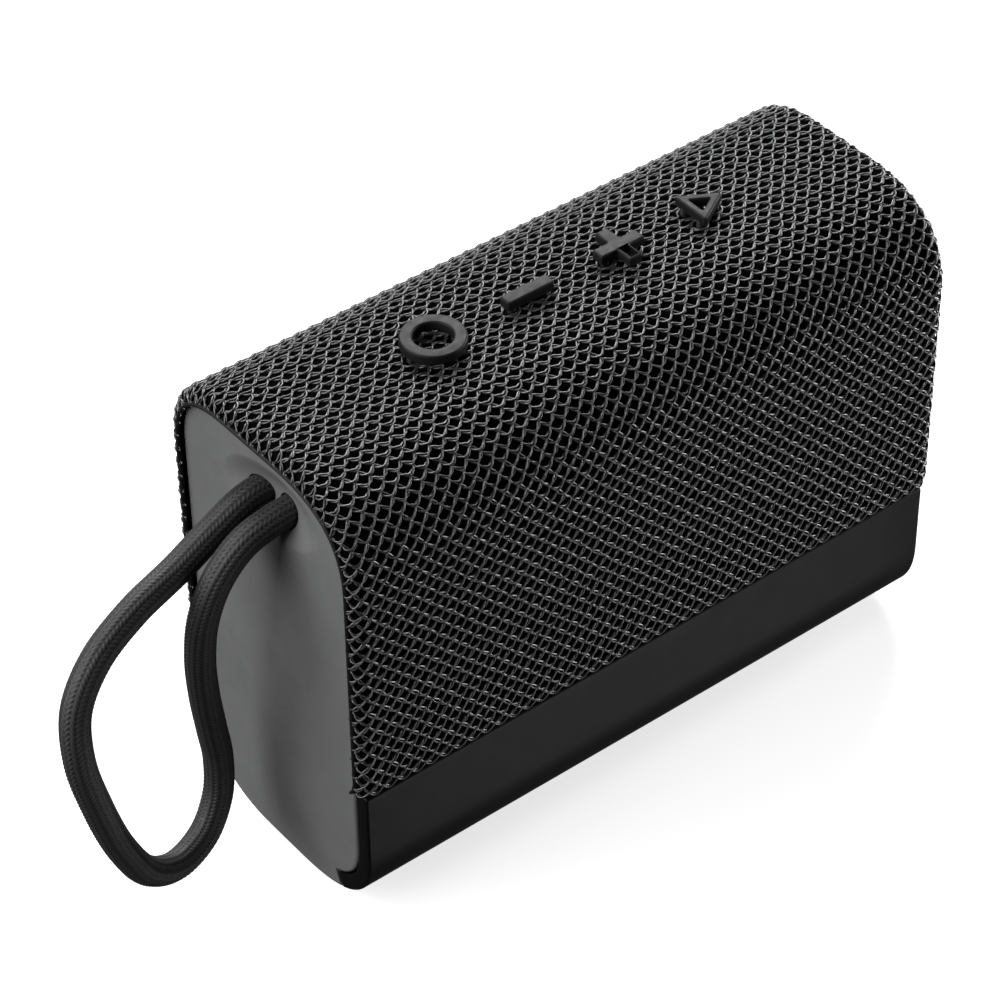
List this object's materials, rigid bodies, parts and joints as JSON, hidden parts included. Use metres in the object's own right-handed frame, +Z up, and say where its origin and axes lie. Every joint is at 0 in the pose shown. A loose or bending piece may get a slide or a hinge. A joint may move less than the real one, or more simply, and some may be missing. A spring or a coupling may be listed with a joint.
{
  "type": "shower speaker",
  "caption": "Pocket wireless speaker: rounded box in a knit mesh sleeve, raised top keys, plastic end caps and front band, rear port flap and a braided wrist strap loop.",
  "frame": {"origin": "middle of the rest surface under the body, between the two end caps", "axes": "+X along the body from the strap end, -Y out of the front, +Z up through the keys"},
  "size_m": [0.1412, 0.0414, 0.0809],
  "materials": {
    "knit_fabric": "open warp-knit mesh, matte black",
    "cap_plastic": "fine satin texture, dark grey",
    "band_plastic": "smooth satin, near black",
    "inner_plastic": "moulded, matte black",
    "soft_rubber": "matte silicone",
    "key_rubber": "smooth satin silicone",
    "foam": "closed-cell foam",
    "steel": "plated steel",
    "dark_steel": "black coated steel",
    "ferrite": "sintered ferrite, matte",
    "copper": "enamelled copper wire",
    "cone_paper": "pressed paper, matte",
    "spider_cloth": "treated cloth",
    "circuit_board": "solder mask",
    "cell_wrap": "shrink film",
    "lead_insulation": "wire insulation",
    "strap_cord": "braided polyester cord, black"
  },
  "bodies": {
    "housing": {"knit_sleeve": "knit_fabric", "left_cap": "cap_plastic", "right_cap": "cap_plastic", "front_band": "band_plastic", "bottom_tray": "band_plastic", "grille_shell": "inner_plastic", "cabinet": "inner_plastic", "battery_cradle": "inner_plastic", "strap_anchor": "inner_plastic", "radiator_frame": "inner_plastic", "left_cap_seal": "soft_rubber", "right_cap_seal": "soft_rubber", "front_foot": "soft_rubber", "rear_foot": "soft_rubber", "key_seal": "soft_rubber", "driver_surround": "soft_rubber", "radiator_surround": "soft_rubber", "driver_gasket": "foam", "usb_socket": "steel", "shield_can": "steel", "top_plate": "steel", "yoke": "steel", "driver_screw_1": "steel", "driver_screw_2": "steel", "driver_screw_3": "steel", "driver_screw_4": "steel", "button_board_screw_1": "steel", "button_board_screw_2": "steel", "main_board_screw_1": "steel", "main_board_screw_2": "steel", "driver_basket": "dark_steel", "power_switch": "dark_steel", "minus_switch": "dark_steel", "plus_switch": "dark_steel", "play_switch": "dark_steel", "magnet": "ferrite", "inductor": "ferrite", "key_ribbon": "cone_paper", "spider": "spider_cloth", "main_board": "circuit_board", "button_board": "circuit_board", "battery_cell": "cell_wrap", "battery_lead": "lead_insulation", "driver_lead": "lead_insulation"},
    "power_key": {"power_button": "key_rubber"},
    "minus_key": {"minus_button": "key_rubber"},
    "plus_key": {"plus_button": "key_rubber"},
    "play_key": {"play_button": "key_rubber"},
    "port_flap": {"port_door": "soft_rubber"},
    "driver_moving_parts": {"driver_cone": "cone_paper", "dust_cap": "cone_paper", "voice_coil": "copper"},
    "radiator_moving_plate": {"radiator_plate": "dark_steel"},
    "strap": {"strap_loop": "strap_cord"}
  },
  "joints": [
    {"name": "power_press", "type": "slide", "parent": "housing", "child": "power_key", "axis": [0, 0, -1], "range_m": [0, 0.0004], "stiffness_N_per_m": 400},
    {"name": "minus_press", "type": "slide", "parent": "housing", "child": "minus_key", "axis": [0, 0, -1], "range_m": [0, 0.0004], "stiffness_N_per_m": 400},
    {"name": "plus_press", "type": "slide", "parent": "housing", "child": "plus_key", "axis": [0, 0, -1], "range_m": [0, 0.0004], "stiffness_N_per_m": 400},
    {"name": "play_press", "type": "slide", "parent": "housing", "child": "play_key", "axis": [0, 0, -1], "range_m": [0, 0.0004], "stiffness_N_per_m": 400},
    {"name": "port_flap_hinge", "type": "hinge", "parent": "housing", "child": "port_flap", "pos_m": [0.0274, 0.0205, 0.0215], "axis": [0, 0, 1], "range_deg": [0, 110]},
    {"name": "driver_excursion", "type": "slide", "parent": "housing", "child": "driver_moving_parts", "axis": [0, 1, 0], "range_m": [-0.001, 0.001], "stiffness_N_per_m": 900, "deforming": ["driver_surround", "spider"]},
    {"name": "radiator_excursion", "type": "slide", "parent": "housing", "child": "radiator_moving_plate", "axis": [0, 1, 0], "range_m": [-0.0015, 0.0015], "stiffness_N_per_m": 500, "deforming": ["radiator_surround"]},
    {"name": "strap_swing", "type": "hinge", "parent": "housing", "child": "strap", "pos_m": [-0.0525, 0, 0.0662], "axis": [0, 1, 0], "range_deg": [0, 75], "deforming": ["strap_loop"]}
  ]
}
